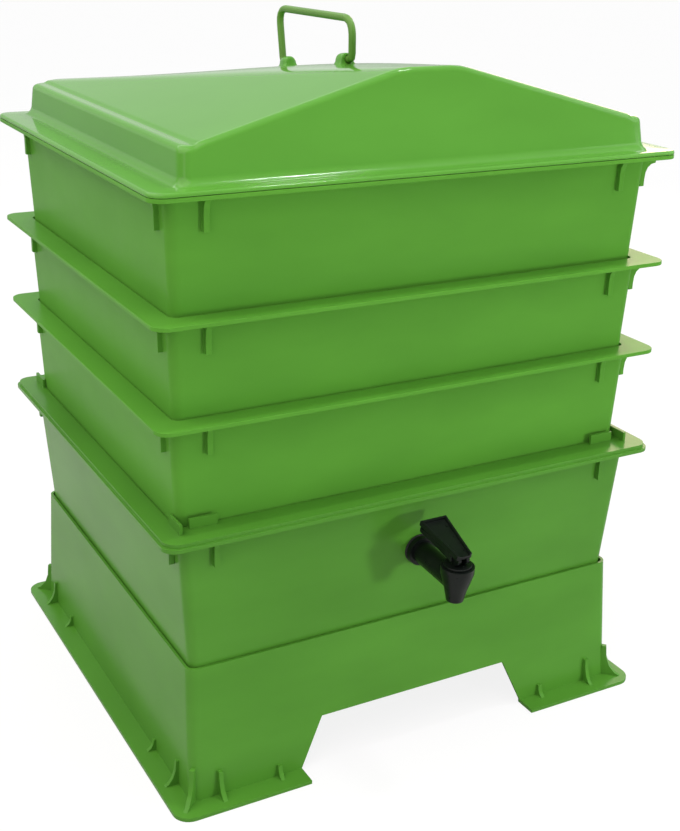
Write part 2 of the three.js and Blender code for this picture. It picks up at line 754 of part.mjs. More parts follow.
function tapBonnet(material) {
  const plug = chamberRadius - fitPlay;
  const outer = turned([
    [0, valveTop - bonnetPlug], [plug, valveTop - bonnetPlug], [plug, bonnetZ],
    [bonnetRadius, bonnetZ], [bonnetRadius, bonnetTop], [0, bonnetTop],
  ], -valveReach);
  const bore = rodRadius + fitPlay;
  const hole = turned([
    [0, valveTop - bonnetPlug - overrun], [bore, valveTop - bonnetPlug - overrun],
    [bore, bonnetTop + overrun], [0, bonnetTop + overrun],
  ], -valveReach);
  return mesh('tap_bonnet', outer.subtract(hole), material);
}

function tapRod(material) {
  const neckLow = sealZ - seatGap;
  const shaft = turned([
    [0, neckLow - rodHeadThickness], [rodHead, neckLow - rodHeadThickness], [rodHead, neckLow],
    [rodNeck, neckLow], [rodNeck, rodFootZ], [rodFoot, rodFootZ],
    [rodFoot, rodFootZ + rodFootThickness], [rodRadius, rodFootZ + rodFootThickness],
    [rodRadius, leverPinZ], [0, leverPinZ],
  ], -valveReach);
  const eye = rodAlongX(eyeRadius, -eyeWidth * half, eyeWidth * half, -valveReach, leverPinZ);
  const hole = rodAlongX(leverPin + leverPinPlay, -eyeWidth, eyeWidth, -valveReach, leverPinZ,
    roundSteps * half);
  return mesh('tap_rod', shaft.add(eye).subtract(hole), material);
}

function tapSeal(material) {
  const outer = turned([
    [0, sealZ], [sealRadius, sealZ], [sealRadius, sealZ + sealThickness],
    [0, sealZ + sealThickness],
  ], -valveReach);
  const bore = rodNeck + sealPlay;
  const hole = turned([
    [0, sealZ - overrun], [bore, sealZ - overrun], [bore, sealZ + sealThickness + overrun],
    [0, sealZ + sealThickness + overrun],
  ], -valveReach);
  return mesh('tap_seal', outer.subtract(hole), material);
}

// Outline of a lever cheek, with the pin at its origin: y towards the free end, z up.
// Its cam edge grows from the heel to the toe, so that lifting the lever lifts the rod.
function cheekOutline() {
  const outline = new THREE.Shape();
  const camSteps = 8;
  outline.moveTo(camHeel, paddleLift);
  outline.lineTo(camHeel, -camHeel * half);
  outline.lineTo(camHeel * half, -camHeel);
  for (let i = 0; i <= camSteps; i += 1) {
    const turn = Math.PI * half * i / camSteps;
    const radius = camHeel + (camToe - camHeel) * i / camSteps;
    outline.lineTo(-radius * Math.sin(turn), -radius * Math.cos(turn));
  }
  outline.lineTo(-camToe, paddleLift * half);
  outline.lineTo(-camToe * half, paddleLift + paddleThickness * half);
  return outline;
}

function tapLever(material) {
  const inner = eyeWidth * half + cheekGap;
  const pieces = [];
  for (const side of [-1, 1]) {
    const middle = side * (inner + cheekThickness * half);
    const geometry = new THREE.ExtrudeGeometry(cheekOutline(), {
      depth: cheekThickness, bevelEnabled: false,
    });
    geometry.translate(0, 0, -cheekThickness * half);
    geometry.rotateX(Math.PI / 2);
    geometry.rotateZ(Math.PI / 2);
    geometry.translate(middle, 0, 0);
    pieces.push(solid(geometry));
  }
  const paddle = new THREE.Shape();
  paddle.moveTo(-paddleRootWidth * half, -paddleNose);
  paddle.lineTo(paddleRootWidth * half, -paddleNose);
  paddle.lineTo(paddleWidth * half, paddleLength - paddleNose);
  paddle.lineTo(-paddleWidth * half, paddleLength - paddleNose);
  const plateGeometry = new THREE.ExtrudeGeometry(paddle, {
    depth: paddleThickness + paddleRimHeight, bevelEnabled: false,
  });
  const tray = new THREE.Shape();
  tray.moveTo(-paddleRootWidth * half + paddleRim, -paddleNose - overrun);
  tray.lineTo(paddleRootWidth * half - paddleRim, -paddleNose - overrun);
  tray.lineTo(paddleWidth * half - paddleRim, paddleLength - paddleNose - paddleRim);
  tray.lineTo(-paddleWidth * half + paddleRim, paddleLength - paddleNose - paddleRim);
  const hollowGeometry = new THREE.ExtrudeGeometry(tray, {
    depth: paddleRimHeight + overrun, bevelEnabled: false,
  });
  hollowGeometry.translate(0, 0, paddleThickness);
  const rise = Math.asin(paddleRise / paddleLength);
  for (const geometry of [plateGeometry, hollowGeometry]) {
    geometry.rotateX(rise);
    geometry.translate(0, 0, paddleLift);
  }
  pieces.push(solid(plateGeometry).subtract(solid(hollowGeometry)));
  const hole = rodAlongX(leverPin + leverPinPlay, -paddleWidth, paddleWidth, 0, 0,
    roundSteps * half);
  const lever = mesh('tap_lever', join(...pieces).subtract(hole), material);
  lever.position.set(0, -valveReach, leverPinZ);
  return lever;
}

function tapLeverPin(material) {
  const reach = eyeWidth * half + cheekGap + cheekThickness;
  return mesh('tap_lever_pin', rodAlongX(leverPin, -reach, reach, -valveReach, leverPinZ,
    roundSteps * half), material);
}

const leafPlastic = new THREE.MeshStandardMaterial({ color: leafGreen, roughness: 0.38 });
const lidPlastic = new THREE.MeshStandardMaterial({ color: brightGreen, roughness: 0.3 });
const handlePlastic = new THREE.MeshStandardMaterial({ color: handleGreen, roughness: 0.42 });
const blackPlastic = new THREE.MeshStandardMaterial({ color: tapBlack, roughness: 0.4 });
const rubber = new THREE.MeshStandardMaterial({ color: rubberBlack, roughness: 0.8 });

const innerWasherFrom = wall + seatGap;
const nutFrom = innerWasherFrom + washerThickness + seatGap;

const tap = new THREE.Group();
tap.position.set(0, tapWallY, tapHeight);
tap.rotation.x = sumpWallLean;
tap.add(
  tapBody(blackPlastic),
  tapBonnet(blackPlastic),
  tapRod(blackPlastic),
  tapSeal(rubber),
  tapLever(blackPlastic),
  tapLeverPin(blackPlastic),
  ring('tap_outer_washer', washerRadius, stubRadius + fitPlay, -seatGap - washerThickness,
    -seatGap, roundSteps, rubber),
  ring('tap_inner_washer', washerRadius, stubRadius + fitPlay, innerWasherFrom,
    innerWasherFrom + washerThickness, roundSteps, rubber),
  ring('tap_backnut', nutRadius, stubRadius + fitPlay, nutFrom, nutFrom + nutThickness,
    nutSides, blackPlastic),
);

const wormery = new THREE.Group();
wormery.add(
  stand(leafPlastic),
  sumpTray(leafPlastic),
  workingTray('tray_bottom', bottomTopZ, middleNest, leafPlastic),
  workingTray('tray_middle', middleTopZ, topNest, leafPlastic),
  workingTray('tray_top', upperTopZ, topNest, leafPlastic),
  lid(lidPlastic),
  lidHandle(handlePlastic),
  tap,
);

// The footprint runs from the lever's front to the back of the foot, and the origin is its middle
wormery.updateMatrixWorld(true);
const footprint = new THREE.Box3().setFromObject(wormery, true);
wormery.position.y = -(footprint.min.y + footprint.max.y) * half;

export default wormery;
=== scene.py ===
"""Looks of the stacking wormery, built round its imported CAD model. Metres, Z up, tap towards -Y."""

import json
import math
from collections import namedtuple

import bmesh
import bpy
from mathutils import Matrix, Vector

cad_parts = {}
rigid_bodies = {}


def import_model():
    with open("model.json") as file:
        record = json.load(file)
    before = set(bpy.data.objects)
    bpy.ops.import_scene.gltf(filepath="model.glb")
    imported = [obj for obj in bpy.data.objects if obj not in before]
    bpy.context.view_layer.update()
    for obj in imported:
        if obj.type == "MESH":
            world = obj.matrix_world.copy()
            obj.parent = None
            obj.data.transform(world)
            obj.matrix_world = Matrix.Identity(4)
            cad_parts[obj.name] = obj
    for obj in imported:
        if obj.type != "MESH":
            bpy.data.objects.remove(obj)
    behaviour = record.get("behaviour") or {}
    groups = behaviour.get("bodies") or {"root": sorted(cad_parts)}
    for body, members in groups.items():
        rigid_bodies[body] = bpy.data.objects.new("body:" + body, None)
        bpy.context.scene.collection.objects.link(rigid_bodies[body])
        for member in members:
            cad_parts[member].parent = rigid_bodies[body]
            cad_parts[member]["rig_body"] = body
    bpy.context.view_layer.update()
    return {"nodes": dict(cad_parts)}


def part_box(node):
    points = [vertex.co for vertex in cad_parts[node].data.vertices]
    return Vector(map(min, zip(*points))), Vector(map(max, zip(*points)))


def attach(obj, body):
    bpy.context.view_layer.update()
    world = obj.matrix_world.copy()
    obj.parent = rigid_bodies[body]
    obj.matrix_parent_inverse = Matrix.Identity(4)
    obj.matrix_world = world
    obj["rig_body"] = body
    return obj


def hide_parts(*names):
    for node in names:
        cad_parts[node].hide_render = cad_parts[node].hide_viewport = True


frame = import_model()

MM = 0.001

# The camera, solved from the photo: its place is measured from the middle of the stand's foot
CAMERA_PLACE = Vector((-571.73, -1078.87, 735.37)) * MM
CAMERA_YAW = math.radians(29.02)
CAMERA_PITCH = math.radians(21.51)
CAMERA_ROLL = math.radians(1.34)
CAMERA_FOCAL_PX = 1286.99
CAMERA_CLIP = 50.0 * MM
PHOTO_HEIGHT_PX = 831
SENSOR_HEIGHT = 36.0

# Cleaning and rounding of the moulded pieces
WELD = 0.002 * MM
FLAT_ANGLE = math.radians(1.0)          # faces that lie flatter than this are one face
ROUNDED_ANGLE = math.radians(28.0)      # edges that are sharper than this are rounded
ROUNDED_ANGLE_ROD = math.radians(40.0)
ROUNDING_STEPS = 3
ROUNDING_STEPS_ROD = 2
TRAY_ROUNDING = 0.9 * MM
TAP_ROUNDING = 0.5 * MM
SMALL_ROUNDING = 0.3 * MM

# The lid's skirt and flange; heights are from the top of the flange
SKIRT_WIDTH = 443.0 * MM
SKIRT_DEPTH = 397.0 * MM
SKIRT_CORNER = 9.0 * MM
LEAN_SHARE_X = 0.06                     # how far the skirt leans in, for its height
LEAN_SHARE_Y = 0.13
LID_WALL = 2.6 * MM
LID_FLANGE = 3.5 * MM
LID_FLANGE_CORNER = 13.0 * MM
COVE_HEIGHT = 8.0 * MM                  # hollow curve from the skirt to the flange
COVE_REACH_X = 6.5 * MM
COVE_REACH_Y = 9.5 * MM
RIM_ROUNDING = 2.4 * MM                 # upper edge of the flange
RIM_FOOT_ROUNDING = 0.8 * MM
LIP_DEPTH = 8.0 * MM                    # the lip drops into the top tray
LIP_INSET_X = 22.4 * MM                 # from the flange's edge to the lip
LIP_INSET_Y = 23.9 * MM
LIP_SHOULDER = 1.0 * MM                 # inner end of the lip, above the flange's underside

# The lid's roof
LEDGE_HEIGHT = 29.5 * MM
LEDGE_WIDTH = 14.0 * MM
PANEL_STEP = 1.6 * MM
PANEL_HEIGHT = LEDGE_HEIGHT + PANEL_STEP
GABLE_HEIGHT = 80.0 * MM
GABLE_FLAT = 46.0 * MM
ROOF_CROWN = 4.5 * MM                   # swelling of the back panel
HIP_END_SHARE = 0.985                   # where the hips end, of the panel's half width
HIP_SOFTNESS = 2.5 * MM                 # how much the creases between the panels are rubbed down
TOP_ROUNDING = 5.5 * MM

# The handle's hinge and its two lugs
HINGE_BACK = 13.5 * MM                  # middle of the hinge line
HINGE_HEIGHT = 61.98 * MM
HINGE_TILT = math.radians(7.236)
LUG_SPACING = 114.0 * MM
LUG_THICKNESS = 11.0 * MM
LUG_WIDTH = 23.0 * MM
LUG_DOME = 6.6 * MM
LUG_SHIFT = Vector((-1.2, -1.0)) * MM   # the dome's centre, from the hinge line
LUG_ROOT = 7.5 * MM
LUG_FLARE = 1.3                         # power of the curve that widens a lug's feet
LUG_FOOT = 2.5 * MM                     # how much thicker a lug is at its root
LUG_BORE = 3.9 * MM
LUG_BORE_PAST = 0.3 * MM                # the bore's bottom, past the lug's thickness
LUG_COVER = 1.5 * MM                    # the inner face closes over the pin
LUG_COVER_SWELL = 0.4 * MM
LUG_ROUNDING = 1.6 * MM
LUG_INNER_ROUNDING = 3.2 * MM

# Fineness of the lid's mesh
SIDE_STEPS = (56, 44, 56, 44)           # along the front, the right, the back and the left
CORNER_STEPS = 8
EVEN_SHARE = 0.4                        # of a side's spacing; the rest crowds to the corners
SHARP_ANGLE = math.radians(35.0)
CEILING_STEPS = 14
ROOF_EDGE_SHARE = 0.08                  # the roof's outer share has finer rings
ROOF_EDGE_STEPS = 10
ROOF_STEPS = 26
TOP_STEPS = 6
COVE_STEPS = 10
RIM_STEPS = 5
RIM_FOOT_STEPS = 3
LUG_DOME_STEPS = 14
LUG_FLARE_STEPS = 8
LUG_FOOT_STEPS = 5
LUG_INNER_STEPS = 5
LUG_OUTER_STEPS = 3

# Side ribs under the tap's lever, placed from its pin: y runs to the lever's free end
LEVER_PIN = Vector((0.0, -241.45, 216.6)) * MM
PADDLE_UNDERSIDE = 3.7 * MM
PADDLE_LENGTH = 53.0 * MM
PADDLE_RISE = 10.0 * MM
PADDLE_SLOPE = math.asin(PADDLE_RISE / PADDLE_LENGTH)
PADDLE_NOSE = 8.0 * MM                  # in front of the pin
PADDLE_HALF_ROOT = 7.5 * MM
PADDLE_HALF_END = 13.5 * MM
RIB_FROM = -1.0 * MM
RIB_TO = 42.5 * MM
RIB_DEPTH_ROOT = 6.0 * MM
RIB_DEPTH_END = 3.6 * MM
RIB_THICKNESS = 2.8 * MM
RIB_OVERLAP = 1.2 * MM                  # up the paddle's side
RIB_OUTSET = 0.25 * MM
RIB_STEPS = 10

stand_low, stand_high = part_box("stand")
lid_low, lid_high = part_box("lid")
middle = (stand_low + stand_high) / 2
centre = Vector((0.0, middle.y, lid_high.z / 2))


# Materials: every finish has a mottled colour, uneven gloss and a fine relief, all from noise

Noise = namedtuple("Noise", "scale detail roughness stretch", defaults=(0.5, None))
Relief = namedtuple("Relief", "noise strength distance")
Finish = namedtuple("Finish", "mottle stops scuffs reliefs")
Plastic = namedtuple("Plastic", "name finish dark light roughness specular")

MOULDED = Finish(
    mottle=Noise(7.0, 3.0, stretch=(1.0, 1.0, 2.6)),    # flow marks
    stops=(0.3, 0.7),
    scuffs=Noise(24.0, 6.0, 0.6),
    reliefs=(Relief(Noise(9.0, 1.0), 0.25, 0.8 * MM),   # slow waves in the walls
             Relief(Noise(900.0, 2.0), 0.06, 0.2 * MM)),
)
TAP_MOULDED = Finish(
    mottle=Noise(60.0, 4.0),
    stops=(0.35, 0.75),
    scuffs=Noise(220.0, 5.0, 0.65),
    reliefs=(Relief(Noise(1400.0, 2.0), 0.12, 0.1 * MM),),
)
CURED = Finish(
    mottle=Noise(90.0, 5.0),
    stops=(0.3, 0.8),
    scuffs=Noise(90.0, 5.0),
    reliefs=(Relief(Noise(1800.0, 3.0), 0.3, 0.1 * MM),),
)
PLASTICS = (
    Plastic("green_plastic", MOULDED, (0.083, 0.272, 0.03), (0.096, 0.31, 0.034),
            (0.24, 0.38), 0.05),
    # the trays' green painted darker: painted shade for the lower pieces, the sump and the stand; the
    # higher gloss is the plastic's own
    Plastic("green_plastic_painted_shade", MOULDED, (0.068, 0.226, 0.024), (0.081, 0.264, 0.029),
            (0.18, 0.3), 0.14),
    Plastic("lid_plastic", MOULDED, (0.085, 0.287, 0.03), (0.094, 0.315, 0.034),
            (0.08, 0.15), 0.3),
    Plastic("handle_plastic", MOULDED, (0.09, 0.22, 0.03), (0.115, 0.27, 0.04),
            (0.3, 0.42), 0.32),
    Plastic("black_plastic", TAP_MOULDED, (0.003, 0.005, 0.004), (0.008, 0.011, 0.009),
            (0.22, 0.38), 0.2),
    Plastic("rubber", CURED, (0.012, 0.012, 0.012), (0.03, 0.03, 0.03), (0.7, 0.9), 0.5),
)


def new_material(name):
    """A material with nothing but its shader and its output."""
    material = bpy.data.materials.new(name)
    material.use_nodes = True
    tree = material.node_tree
    tree.nodes.clear()
    output = tree.nodes.new("ShaderNodeOutputMaterial")
    shader = tree.nodes.new("ShaderNodeBsdfPrincipled")
    tree.links.new(shader.outputs["BSDF"], output.inputs["Surface"])
    return material, tree, shader, output


def noise_value(tree, noise):
    """Noise in the object's own coordinates, from 0 to 1."""
    coordinates = tree.nodes.new("ShaderNodeTexCoord")
    texture = tree.nodes.new("ShaderNodeTexNoise")
    texture.inputs["Scale"].default_value = noise.scale
    texture.inputs["Detail"].default_value = noise.detail
    texture.inputs["Roughness"].default_value = noise.roughness
    source = coordinates.outputs["Object"]
    if noise.stretch is not None:
        mapping = tree.nodes.new("ShaderNodeMapping")
        mapping.inputs["Scale"].default_value = noise.stretch
        tree.links.new(source, mapping.inputs["Vector"])
        source = mapping.outputs["Vector"]
    tree.links.new(source, texture.inputs["Vector"])
    return texture.outputs["Fac"]


def ramp(tree, source, stops):
    """Colour ramp through pairs of place and colour."""
    node = tree.nodes.new("ShaderNodeValToRGB")
    for _ in range(len(stops) - len(node.color_ramp.elements)):
        node.color_ramp.elements.new(1.0)
    for element, (place, colour) in zip(node.color_ramp.elements, stops):
        element.position = place
        element.color = (*colour, 1.0)
    tree.links.new(source, node.inputs["Fac"])
    return node.outputs["Color"]


def value_range(tree, source, low, high):
    """The values from 0 to 1 spread from low to high."""
    node = tree.nodes.new("ShaderNodeMapRange")
    node.inputs["To Min"].default_value = low
    node.inputs["To Max"].default_value = high
    tree.links.new(source, node.inputs["Value"])
    return node.outputs["Result"]


def bump(tree, relief, after):
    """The normal of a relief, laid over the normal after it where there is one."""
    node = tree.nodes.new("ShaderNodeBump")
    node.inputs["Strength"].default_value = relief.strength
    node.inputs["Distance"].default_value = relief.distance
    tree.links.new(noise_value(tree, relief.noise), node.inputs["Height"])
    if after is not None:
        tree.links.new(after, node.inputs["Normal"])
    return node.outputs["Normal"]


def make_plastic(plastic):
    material, tree, shader, _ = new_material(plastic.name)
    finish = plastic.finish
    stops = list(zip(finish.stops, (plastic.dark, plastic.light)))
    tone = ramp(tree, noise_value(tree, finish.mottle), stops)
    tree.links.new(tone, shader.inputs["Base Color"])
    gloss = value_range(tree, noise_value(tree, finish.scuffs), *plastic.roughness)
    tree.links.new(gloss, shader.inputs["Roughness"])
    normal = None
    for relief in finish.reliefs:
        normal = bump(tree, relief, normal)
    tree.links.new(normal, shader.inputs["Normal"])
    shader.inputs["Specular IOR Level"].default_value = plastic.specular
    return material


materials = {plastic.name: make_plastic(plastic) for plastic in PLASTICS}


# Visible meshes, made from the frame's own shapes

def add_object(name, data):
    thing = bpy.data.objects.new(name, data)
    bpy.context.scene.collection.objects.link(thing)
    return thing


def write_smooth(work, mesh, material):
    """The edited faces become the mesh, in one material and shaded smooth."""
    for face in work.faces:
        face.smooth = True
    work.to_mesh(mesh)
    work.free()
    mesh.materials.clear()
    mesh.materials.append(materials[material])


def round_edges(piece, rounding, steps=ROUNDING_STEPS, angle=ROUNDED_ANGLE, miter="MITER_ARC"):
    """Edges rounded as a mould leaves them, kept in the mesh itself."""
    bevel = piece.modifiers.new("rounding", "BEVEL")
    bevel.width = rounding
    bevel.segments = steps
    bevel.limit_method = "ANGLE"
    bevel.angle_limit = angle
    bevel.miter_outer = miter
    normals = piece.modifiers.new("normals", "WEIGHTED_NORMAL")
    normals.keep_sharp = True
    bpy.context.view_layer.update()
    graph = bpy.context.evaluated_depsgraph_get()
    baked = bpy.data.meshes.new_from_object(piece.evaluated_get(graph))
    piece.modifiers.clear()
    piece.data = baked


def rounded(node, slot, material, rounding, *how):
    """A copy of a CAD node with its flat faces cleaned and its edges rounded."""
    source = frame["nodes"][node]
    mesh = source.data.copy()
    work = bmesh.new()
    work.from_mesh(mesh)
    bmesh.ops.remove_doubles(work, verts=work.verts, dist=WELD)
    bmesh.ops.dissolve_limit(work, angle_limit=FLAT_ANGLE, verts=work.verts, edges=work.edges)
    bmesh.ops.connect_verts_concave(work, faces=work.faces)
    write_smooth(work, mesh, material)
    piece = add_object(node + "_look", mesh)
    round_edges(piece, rounding, *how)
    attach(piece, source["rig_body"])
    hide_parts(node)


for node in ("tray_top", "tray_middle", "tray_bottom"):
    rounded(node, "green_plastic", "green_plastic", TRAY_ROUNDING)
# the sump and the stand take the green with painted shade in its colour
for node in ("sump_tray", "stand"):
    rounded(node, "green_plastic", "green_plastic_painted_shade", TRAY_ROUNDING)
rounded("lid_handle", "handle_plastic", "handle_plastic", SMALL_ROUNDING,
        ROUNDING_STEPS_ROD, ROUNDED_ANGLE_ROD)
for node in ("tap_body", "tap_bonnet", "tap_backnut", "tap_lever", "tap_rod", "tap_lever_pin"):
    rounded(node, "black_plastic", "black_plastic", TAP_ROUNDING)
for node in ("tap_seal", "tap_outer_washer", "tap_inner_washer"):
    rounded(node, "rubber", "rubber", SMALL_ROUNDING)


# The lid: one skin of rings that runs from the hollow's ceiling, down and round the lip and the
# flange, up the skirt and over the roof. Each ring has the same stations round it.

def lid_stations():
    """Side, share along the side from -1 to 1, and turn round the corner at the side's end."""
    stations = []
    for side, count in enumerate(SIDE_STEPS):
        for i in range(count + 1):
            step = 2 * i / count - 1
            crowded = math.sin(step * math.pi / 2)
            stations.append((side, EVEN_SHARE * step + (1 - EVEN_SHARE) * crowded, 0.0))
        for i in range(1, CORNER_STEPS):
            stations.append((side, 1.0, i / CORNER_STEPS * math.pi / 2))
    return stations


STATIONS = lid_stations()


def station_point(station, half_x, half_y, corner):
    """Place of a station on a rectangle with round corners; side 0 is the front."""
    side, share, turn = station
    along = Vector(((1, 0), (0, 1), (-1, 0), (0, -1))[side])
    out = Vector((along.y, -along.x))
    reach, away = (half_x, half_y) if side % 2 == 0 else (half_y, half_x)
    corner = min(corner, reach, away)
    if turn == 0.0:
        return along * share * (reach - corner) + out * away
    corner_middle = along * (reach - corner) + out * (away - corner)
    return corner_middle + (out * math.cos(turn) + along * math.sin(turn)) * corner


def smooth_step(low, high, value):
    """From 0 at low to 1 at high, level at both ends."""
    share = min(1.0, max(0.0, (value - low) / (high - low)))
    return share * share * (3 - 2 * share)


def smooth_min(a, b, softness):
    """The lower of two heights, with the crease between them rubbed down."""
    share = min(1.0, max(0.0, 0.5 + 0.5 * (b - a) / softness))
    return b * (1 - share) + a * share - softness * share * (1 - share)


PANEL_HALF = SKIRT_WIDTH / 2 - LEAN_SHARE_X * LEDGE_HEIGHT - LEDGE_WIDTH
ROOF_HALF = SKIRT_DEPTH / 2 - LEAN_SHARE_Y * PANEL_HEIGHT


def roof_height(x, y):
    """Side panels that rise to the gable's level top, and a swollen back panel between hips."""
    share = min(1.0, max(0.0, (y + ROOF_HALF) / (2 * ROOF_HALF)))
    flat = GABLE_FLAT / 2
    slope = (GABLE_HEIGHT - PANEL_HEIGHT) / (PANEL_HALF - flat)
    hip = flat + (PANEL_HALF * HIP_END_SHARE - flat) * share
    across = min(1.0, abs(x) / hip)
    side = PANEL_HEIGHT + slope * (PANEL_HALF - abs(x))
    back = PANEL_HEIGHT + slope * (PANEL_HALF - hip)
    back += ROOF_CROWN * math.sin(math.pi * share) ** 2 * (1 - across * across)
    roof = smooth_min(side, back, HIP_SOFTNESS)
    on_panel = smooth_step(PANEL_HALF + PANEL_STEP, PANEL_HALF - PANEL_STEP, abs(x))
    return LEDGE_HEIGHT + (roof - LEDGE_HEIGHT) * on_panel


def skirt_ring(inset, drop, wall):
    """Ring near the top of the skirt: inset from its face, dropped below the roof."""
    ring = []
    for station in STATIONS:
        foot = station_point(station, SKIRT_WIDTH / 2, SKIRT_DEPTH / 2, SKIRT_CORNER)
        height = roof_height(foot.x, foot.y)
        back = inset + wall
        place = station_point(station, SKIRT_WIDTH / 2 - LEAN_SHARE_X * height - back,
                              SKIRT_DEPTH / 2 - LEAN_SHARE_Y * height - back,
                              SKIRT_CORNER - wall)
        ring.append(Vector((place.x, place.y, roof_height(place.x, place.y) - drop - wall)))
    return ring


def roof_rings(edge, shares, wall):
    """Rings from the roof's edge in to the line in the middle that they all end on."""
    middle_half = (SKIRT_WIDTH - SKIRT_DEPTH) / 2
    rings = []
    for share in shares:
        ring = []
        for station, start in zip(STATIONS, edge):
            end = station_point(station, middle_half, 0.0, 0.0)
            place = Vector((start.x, start.y)).lerp(end, share)
            ring.append(Vector((place.x, place.y, roof_height(place.x, place.y) - wall)))
        rings.append(ring)
    return rings


def level_ring(half_x, half_y, corner, height):
    """Ring at one height, on a rectangle with round corners."""
    places = [station_point(station, half_x, half_y, corner) for station in STATIONS]
    return [Vector((place.x, place.y, height)) for place in places]


def quarter(steps):
    """Turns from nothing to a right angle."""
    return [math.pi / 2 * i / steps for i in range(steps + 1)]


def ceiling_rings():
    """From the middle of the hollow's ceiling to its foot."""
    edge = skirt_ring(TOP_ROUNDING, 0.0, LID_WALL)
    shares = [i / CEILING_STEPS for i in range(1, CEILING_STEPS + 1)]
    foot = level_ring(SKIRT_WIDTH / 2 - LID_WALL, SKIRT_DEPTH / 2 - LID_WALL,
                      SKIRT_CORNER - LID_WALL, LIP_SHOULDER - LID_FLANGE)
    return roof_rings(edge, shares, LID_WALL)[::-1] + [
        edge, skirt_ring(0.0, TOP_ROUNDING, LID_WALL), foot]


def lip_rings(flange_half):
    """Down the inner side of the lip, under it and up its outer side."""
    lip_x = flange_half.x - LIP_INSET_X
    lip_y = flange_half.y - LIP_INSET_Y
    low = -LID_FLANGE - LIP_DEPTH
    corners = ((LID_WALL, LIP_SHOULDER - LID_FLANGE), (LID_WALL, low), (0.0, low),
               (0.0, -LID_FLANGE))
    return [level_ring(lip_x - inset, lip_y - inset, SKIRT_CORNER - LID_WALL, height)
            for inset, height in corners]


def rim_rings(flange_half):
    """Round the flange's edge, from its underside to its top."""
    profile = []
    for turn in quarter(RIM_FOOT_STEPS):
        profile.append((RIM_FOOT_ROUNDING * (1 - math.sin(turn)),
                        -LID_FLANGE + RIM_FOOT_ROUNDING * (1 - math.cos(turn))))
    for turn in quarter(RIM_STEPS):
        profile.append((RIM_ROUNDING * (1 - math.cos(turn)),
                        -RIM_ROUNDING * (1 - math.sin(turn))))
    return [level_ring(flange_half.x - back, flange_half.y - back, LID_FLANGE_CORNER - back, height)
            for back, height in profile]


def skirt_rings():
    """From the flange over the cove and up the skirt to the roof's edge."""
    rings = []
    for turn in quarter(COVE_STEPS):
        out = 1 - math.sin(turn)
        height = COVE_HEIGHT * (1 - math.cos(turn))
        rings.append(level_ring(SKIRT_WIDTH / 2 + COVE_REACH_X * out - LEAN_SHARE_X * height,
                                SKIRT_DEPTH / 2 + COVE_REACH_Y * out - LEAN_SHARE_Y * height,
                                SKIRT_CORNER + COVE_REACH_X * out, height))
    for turn in quarter(TOP_STEPS):
        rings.append(skirt_ring(TOP_ROUNDING * (1 - math.cos(turn)),
                                TOP_ROUNDING * (1 - math.sin(turn)), 0.0))
    return rings


def lid_skin():
    """All rings of the lid, from the middle of the ceiling to the middle of the roof."""
    flange_half = (lid_high - lid_low) / 2
    skirt = skirt_rings()
    fine = [ROOF_EDGE_SHARE * i / ROOF_EDGE_STEPS for i in range(1, ROOF_EDGE_STEPS + 1)]
    coarse = [ROOF_EDGE_SHARE + (1 - ROOF_EDGE_SHARE) * i / ROOF_STEPS
              for i in range(1, ROOF_STEPS + 1)]
    return (ceiling_rings() + lip_rings(flange_half) + rim_rings(flange_half) + skirt
            + roof_rings(skirt[-1], fine + coarse, 0.0))


def mesh_of_rings(name, rings):
    """Quads between rings of equal length."""
    mesh = bpy.data.meshes.new(name)
    count = len(rings[0])
    faces = []
    for row in range(len(rings) - 1):
        low, high = row * count, (row + 1) * count
        for i in range(count):
            j = (i + 1) % count
            faces.append((low + i, low + j, high + j, high + i))
    mesh.from_pydata([place for ring in rings for place in ring], [], faces)
    return mesh


def lug_outline():
    """A lug seen along the hinge line: flared feet and a domed head."""
    right = []
    for i in range(LUG_FLARE_STEPS):
        share = 1 - i / LUG_FLARE_STEPS
        spread = LUG_DOME + (LUG_WIDTH / 2 - LUG_DOME) * share ** LUG_FLARE
        right.append(Vector((spread, -LUG_ROOT * share)))
    turns = [math.pi * i / LUG_DOME_STEPS for i in range(LUG_DOME_STEPS + 1)]
    dome = [Vector((math.cos(turn), math.sin(turn))) * LUG_DOME for turn in turns]
    left = [Vector((-place.x, place.y)) for place in reversed(right)]
    foot = [Vector((LUG_WIDTH * (i / LUG_FOOT_STEPS - 0.5), -LUG_ROOT))
            for i in range(1, LUG_FOOT_STEPS)]
    return [place + LUG_SHIFT for place in right + dome + left + foot]


def lug_rings():
    """From the middle of the closed inner face, over the outline and into the blind bore."""
    outline = lug_outline()

    def ring(away, inset):
        places = []
        for place in outline:
            shrunk = place * (1 - inset / max(place.length, LUG_DOME))
            thicker = LUG_FOOT * min(1.0, max(0.0, -shrunk.y / LUG_ROOT)) ** 2
            places.append(Vector((shrunk.x, away + math.copysign(thicker, away), shrunk.y)))
        return places

    def bore_ring(away):
        turns = [math.atan2(place.y, place.x) for place in outline]
        return [Vector((math.cos(turn) * LUG_BORE, away, math.sin(turn) * LUG_BORE))
                for turn in turns]

    half = LUG_THICKNESS / 2
    inner = -half - LUG_COVER
    bottom = -half - LUG_BORE_PAST
    rings = [[Vector((LUG_SHIFT.x, inner - LUG_COVER_SWELL, LUG_SHIFT.y))] * len(outline)]
    for turn in quarter(LUG_INNER_STEPS):
        rings.append(ring(inner + LUG_INNER_ROUNDING * (1 - math.cos(turn)),
                          LUG_INNER_ROUNDING * (1 - math.sin(turn))))
    for turn in quarter(LUG_OUTER_STEPS)[::-1]:
        rings.append(ring(half - LUG_ROUNDING * (1 - math.cos(turn)),
                          LUG_ROUNDING * (1 - math.sin(turn))))
    rings += [bore_ring(half), bore_ring(bottom)]
    rings.append([Vector((0.0, bottom, 0.0))] * len(outline))
    return rings


